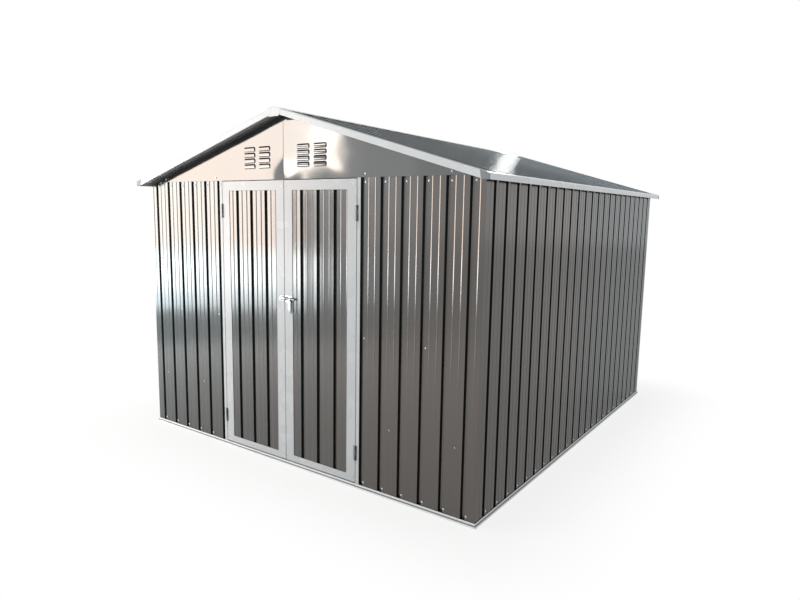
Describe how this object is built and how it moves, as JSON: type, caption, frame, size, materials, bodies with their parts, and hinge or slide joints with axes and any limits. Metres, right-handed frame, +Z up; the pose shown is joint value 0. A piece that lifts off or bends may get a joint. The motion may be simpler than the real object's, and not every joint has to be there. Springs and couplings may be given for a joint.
{
  "type": "metal storage shed",
  "caption": "Gable-roofed garden shed of ribbed sheet metal on a base rail frame, with a pair of hinged doors, a slide bolt and louvred gables.",
  "frame": {"origin": "on the ground at the centre of the footprint", "axes": "+Z up, +Y from the door front to the back, +X to the right as seen from the front"},
  "size_m": [2.703, 3.1034, 2.1078],
  "materials": {
    "wall_paint": "semi-gloss charcoal grey coil coating",
    "gable_paint": "semi-gloss charcoal grey coil coating on plain sheet",
    "roof_paint": "semi-gloss charcoal grey coil coating",
    "white_trim": "satin off-white coil coating",
    "cap_grey": "moulded grey plastic",
    "zinc": "galvanised",
    "hinge_steel": "zinc plated",
    "latch_chrome": "bright plated"
  },
  "bodies": {
    "shed": {"base_rail_front": "white_trim", "base_rail_back": "white_trim", "base_rail_left": "white_trim", "base_rail_right": "white_trim", "front_wall_left": "wall_paint", "front_wall_right": "wall_paint", "back_wall": "wall_paint", "left_wall": "wall_paint", "right_wall": "wall_paint", "corner_posts": "zinc", "top_rail_front": "zinc", "top_rail_back": "zinc", "top_rail_left": "zinc", "top_rail_right": "zinc", "mid_rails": "zinc", "gable_front_left": "gable_paint", "gable_front_right": "gable_paint", "gable_back_left": "gable_paint", "gable_back_right": "gable_paint", "roof_left": "roof_paint", "roof_right": "roof_paint", "ridge_cap": "roof_paint", "ridge_end_caps": "white_trim", "ridge_beam": "zinc", "roof_purlins": "zinc", "verge_trim_front_left": "white_trim", "verge_trim_front_right": "white_trim", "verge_trim_back_left": "white_trim", "verge_trim_back_right": "white_trim", "eaves_trim_left": "white_trim", "eaves_trim_right": "white_trim", "eaves_corner_caps": "cap_grey", "door_jamb_left": "white_trim", "door_jamb_right": "white_trim", "jamb_hinges_left": "hinge_steel", "jamb_hinges_right": "hinge_steel"},
    "left_leaf": {"left_leaf_frame": "white_trim", "left_leaf_panel": "wall_paint", "left_leaf_hinges": "hinge_steel", "latch_keeper": "latch_chrome"},
    "right_leaf": {"right_leaf_frame": "white_trim", "right_leaf_panel": "wall_paint", "right_leaf_hinges": "hinge_steel", "latch_plate": "latch_chrome"},
    "bolt": {"latch_bolt": "latch_chrome"}
  },
  "joints": [
    {"name": "left_leaf_hinge", "type": "hinge", "parent": "shed", "child": "left_leaf", "pos_m": [-0.543, -1.481, 0.87], "axis": [0, 0, -1], "range_deg": [0, 160]},
    {"name": "right_leaf_hinge", "type": "hinge", "parent": "shed", "child": "right_leaf", "pos_m": [0.543, -1.481, 0.87], "axis": [0, 0, 1], "range_deg": [0, 160]},
    {"name": "bolt_slide", "type": "slide", "parent": "right_leaf", "child": "bolt", "axis": [-1, 0, 0], "range_m": [0, 0.025]}
  ]
}
